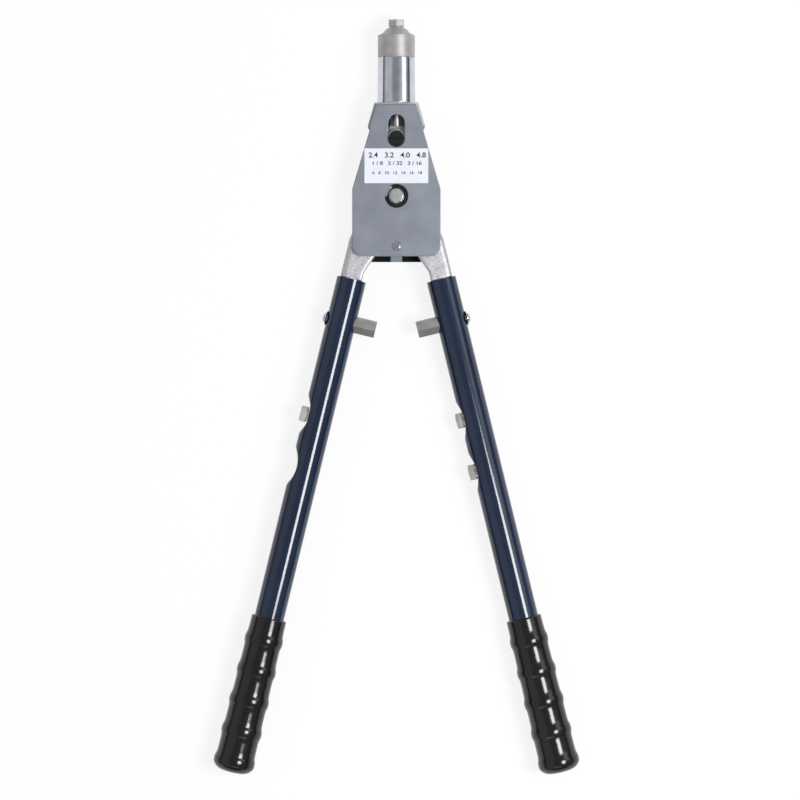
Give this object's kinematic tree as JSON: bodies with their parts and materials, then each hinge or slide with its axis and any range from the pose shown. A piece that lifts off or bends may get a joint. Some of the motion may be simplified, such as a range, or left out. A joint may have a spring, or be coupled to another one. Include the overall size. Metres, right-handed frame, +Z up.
{
  "type": "long arm riveter",
  "caption": "Long arm hand riveter: two tubular arms with vinyl grips work a puller and jaws in a plate head with a barrel and nosepiece.",
  "frame": {"origin": "centre of the fitted nosepiece's mandrel bore, at its outer face", "axes": "+Y out of the nosepiece, +Z up from the table with the tool lying flat, label side up"},
  "size_m": [0.2628, 0.5415, 0.0305],
  "materials": {
    "plate_zinc": "satin zinc plate",
    "bright_zinc": "bright zinc plate",
    "cast_plated": "plated rough casting",
    "navy_paint": "gloss enamel",
    "black_vinyl": "dipped vinyl",
    "black_oxide": "black oxide",
    "hard_steel": "turned steel",
    "label_film": "printed film"
  },
  "bodies": {
    "head": {"barrel": "bright_zinc", "bottom_rivet": "bright_zinc", "bottom_spacer": "bright_zinc", "front_bush": "black_oxide", "front_plate": "plate_zinc", "front_washer": "bright_zinc", "head_block": "plate_zinc", "label": "label_film", "nose_cap": "bright_zinc", "nosepiece": "hard_steel", "pivot_bolt": "bright_zinc", "pivot_nut": "bright_zinc", "pivot_sleeve": "hard_steel", "rear_bush": "black_oxide", "rear_plate": "plate_zinc", "rear_washer": "bright_zinc"},
    "left_arm": {"left_arm_head": "cast_plated", "left_grip": "black_vinyl", "left_link_pin": "hard_steel", "left_stop_post": "bright_zinc", "left_stop_screw": "bright_zinc", "left_stop_washer": "black_oxide", "left_tube": "navy_paint", "spare_nosepiece_1": "hard_steel"},
    "right_arm": {"right_arm_head": "cast_plated", "right_grip": "black_vinyl", "right_link_pin": "hard_steel", "right_stop_post": "bright_zinc", "right_stop_screw": "bright_zinc", "right_stop_washer": "black_oxide", "right_tube": "navy_paint", "spare_nosepiece_2": "hard_steel", "spare_nosepiece_3": "hard_steel"},
    "puller": {"pull_rod": "bright_zinc", "puller_clevis": "bright_zinc", "jaw_case": "hard_steel", "jaw_spring": "hard_steel", "slide_screw": "black_oxide", "slide_nut": "bright_zinc"},
    "jaw_set": {"jaws": "hard_steel", "jaw_pusher": "hard_steel"},
    "left_link": {"left_link": "bright_zinc"},
    "right_link": {"right_link": "bright_zinc"}
  },
  "joints": [
    {"name": "left_arm_hinge", "type": "hinge", "parent": "head", "child": "left_arm", "pos_m": [0, -0.1268, 0], "axis": [0, 0, 1], "range_deg": [-35, 8]},
    {"name": "right_arm_hinge", "type": "hinge", "parent": "head", "child": "right_arm", "pos_m": [0, -0.1268, 0], "axis": [0, 0, 1], "range_deg": [-8, 35]},
    {"name": "puller_slide", "type": "slide", "parent": "head", "child": "puller", "axis": [0, 1, 0], "range_m": [-0.002, 0.0084]},
    {"name": "left_link_hinge", "type": "hinge", "parent": "puller", "child": "left_link", "pos_m": [0, -0.0858, 0], "axis": [0, 0, 1], "range_deg": [-1.8, 7.3]},
    {"name": "right_link_hinge", "type": "hinge", "parent": "puller", "child": "right_link", "pos_m": [0, -0.0858, 0], "axis": [0, 0, 1], "range_deg": [-7.3, 1.8]},
    {"name": "jaw_slide", "type": "slide", "parent": "puller", "child": "jaw_set", "axis": [0, -1, 0], "range_m": [0, 0.003], "stiffness_N_per_m": 500, "springref_m": -0.004, "deforming": ["jaw_spring"]}
  ],
  "couplings": [
    {"joint": "right_arm_hinge", "follows": "left_arm_hinge", "ratio": -1},
    {"joint": "puller_slide", "follows": "left_arm_hinge", "m_per_rad": -0.013608},
    {"joint": "left_link_hinge", "follows": "left_arm_hinge", "ratio": -0.205},
    {"joint": "right_link_hinge", "follows": "left_arm_hinge", "ratio": 0.205}
  ]
}
